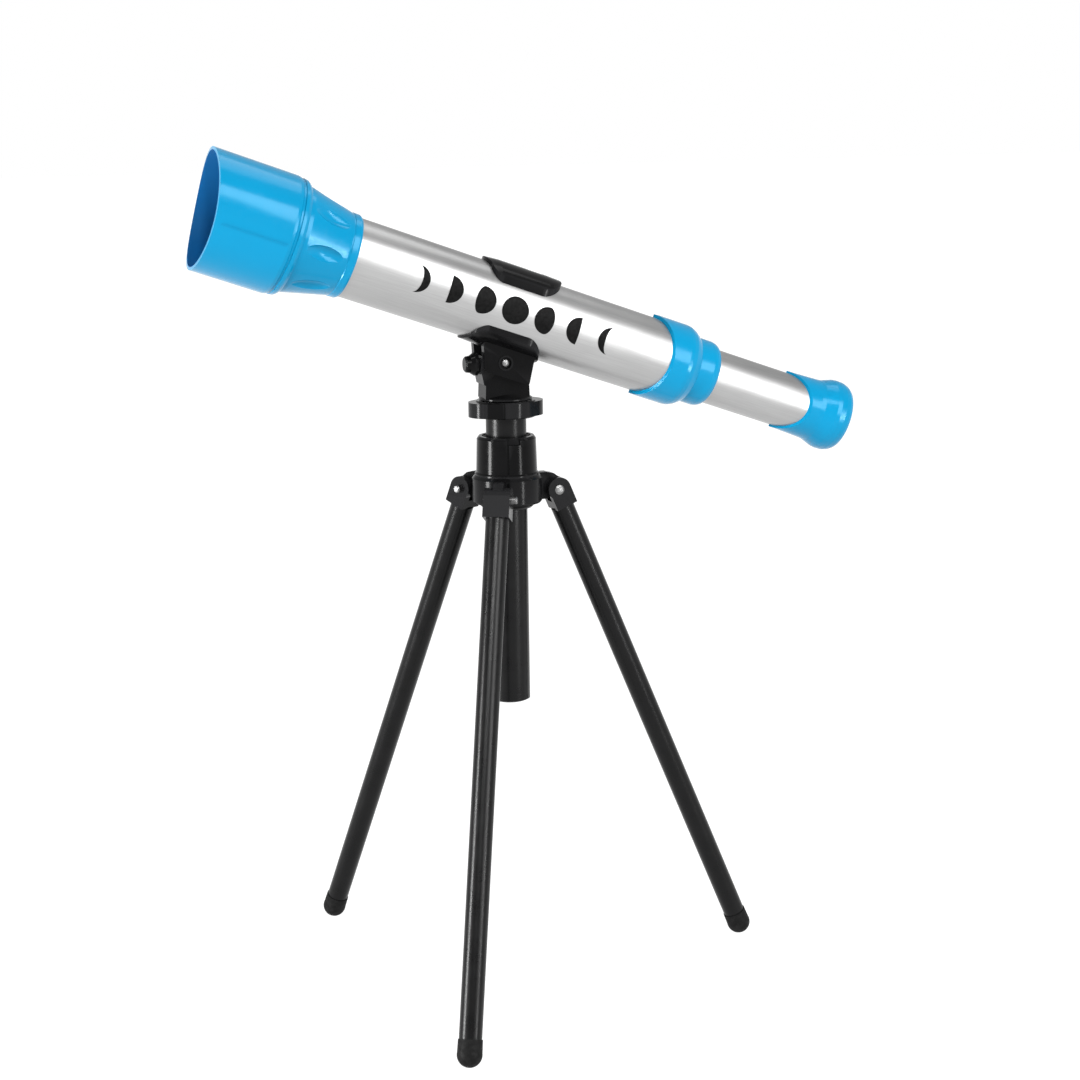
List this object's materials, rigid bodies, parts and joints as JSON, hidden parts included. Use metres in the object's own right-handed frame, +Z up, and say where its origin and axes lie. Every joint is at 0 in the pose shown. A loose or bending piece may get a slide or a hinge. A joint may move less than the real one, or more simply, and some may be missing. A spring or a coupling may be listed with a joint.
{
  "type": "telescope on tripod",
  "caption": "Small blue and silver toy refracting telescope with a sliding eyepiece tube, on a black folding tripod with a tilting, turning head and a rising column.",
  "frame": {"origin": "on the table, under the centre column's axis", "axes": "+Z up along the column; the telescope's axis lies in the XZ plane with its objective towards -X and its eyepiece towards +X"},
  "size_m": [0.3412, 0.2353, 0.4241],
  "materials": {
    "blue_plastic": "glossy sky-blue moulded plastic with fine mould texture inside",
    "silver_tube": "satin silver tube, finely brushed along its length",
    "black_plastic": "semi-gloss black moulded plastic",
    "inner_black": "matt black plastic",
    "black_tube": "satin black painted tube with a clear highlight",
    "steel": "bright zinc-plated steel",
    "foot_rubber": "soft matt black rubber",
    "lens_glass": "clear lens with a faint coating tint"
  },
  "bodies": {
    "tripod_base": {"spider_hub": "black_plastic", "hub_sleeve": "black_plastic", "column_bush": "inner_black", "leg_pins": "steel"},
    "column": {"centre_column": "black_tube", "column_plug": "black_plastic"},
    "pan_ring": {"pan_lock_ring": "black_plastic"},
    "pan_head": {"tilt_neck": "black_plastic", "pan_screw": "steel"},
    "telescope": {"objective_hood": "blue_plastic", "objective_cell": "blue_plastic", "lens_ring": "inner_black", "objective_lens": "lens_glass", "main_tube": "silver_tube", "tube_baffle": "inner_black", "sight_pad": "black_plastic", "rear_collar": "blue_plastic", "friction_bush": "inner_black", "saddle": "black_plastic", "tilt_head": "black_plastic", "saddle_screws": "steel", "tilt_screw": "steel", "tilt_nut": "steel"},
    "lock_knob": {"tilt_lock_knob": "black_plastic"},
    "draw": {"draw_tube": "silver_tube", "draw_stop": "inner_black", "eyepiece_cup": "blue_plastic", "eye_lens": "lens_glass", "lens_spacer": "inner_black", "field_lens": "lens_glass"},
    "leg_right": {"leg_cap_right": "black_plastic", "leg_tube_right": "black_tube", "foot_right": "foot_rubber"},
    "leg_left": {"leg_cap_left": "black_plastic", "leg_tube_left": "black_tube", "foot_left": "foot_rubber"},
    "leg_front": {"leg_cap_front": "black_plastic", "leg_tube_front": "black_tube", "foot_front": "foot_rubber"}
  },
  "joints": [
    {"name": "column_lift", "type": "slide", "parent": "tripod_base", "child": "column", "axis": [0, 0, 1], "range_m": [-0.009, 0.07]},
    {"name": "pan_ring_turn", "type": "hinge", "parent": "column", "child": "pan_ring", "pos_m": [0, 0, 0.2927], "axis": [0, 0, 1], "range_deg": [-60, 60]},
    {"name": "pan", "type": "hinge", "parent": "column", "child": "pan_head", "pos_m": [0, 0, 0.2972], "axis": [0, 0, 1], "continuous": true},
    {"name": "tilt", "type": "hinge", "parent": "pan_head", "child": "telescope", "pos_m": [-0.003, 0, 0.3163], "axis": [0, 1, 0], "range_deg": [-15, 30]},
    {"name": "lock_knob_turn", "type": "hinge", "parent": "pan_head", "child": "lock_knob", "pos_m": [-0.0145, 0, 0.3153], "axis": [1, 0, 0], "range_deg": [0, 180]},
    {"name": "focus_slide", "type": "slide", "parent": "telescope", "child": "draw", "axis": [0.9415, 0, -0.3371], "range_m": [-0.04, 0.027]},
    {"name": "leg_fold_right", "type": "hinge", "parent": "tripod_base", "child": "leg_right", "pos_m": [0.02556, 0.00147, 0.2505], "axis": [-0.0576, 0.9983, 0], "range_deg": [0, 22]},
    {"name": "leg_fold_left", "type": "hinge", "parent": "tripod_base", "child": "leg_left", "pos_m": [-0.01405, 0.0214, 0.2505], "axis": [-0.8358, -0.549, 0], "range_deg": [0, 22]},
    {"name": "leg_fold_front", "type": "hinge", "parent": "tripod_base", "child": "leg_front", "pos_m": [-0.0115, -0.02287, 0.2505], "axis": [0.8934, -0.4493, 0], "range_deg": [0, 22]}
  ]
}
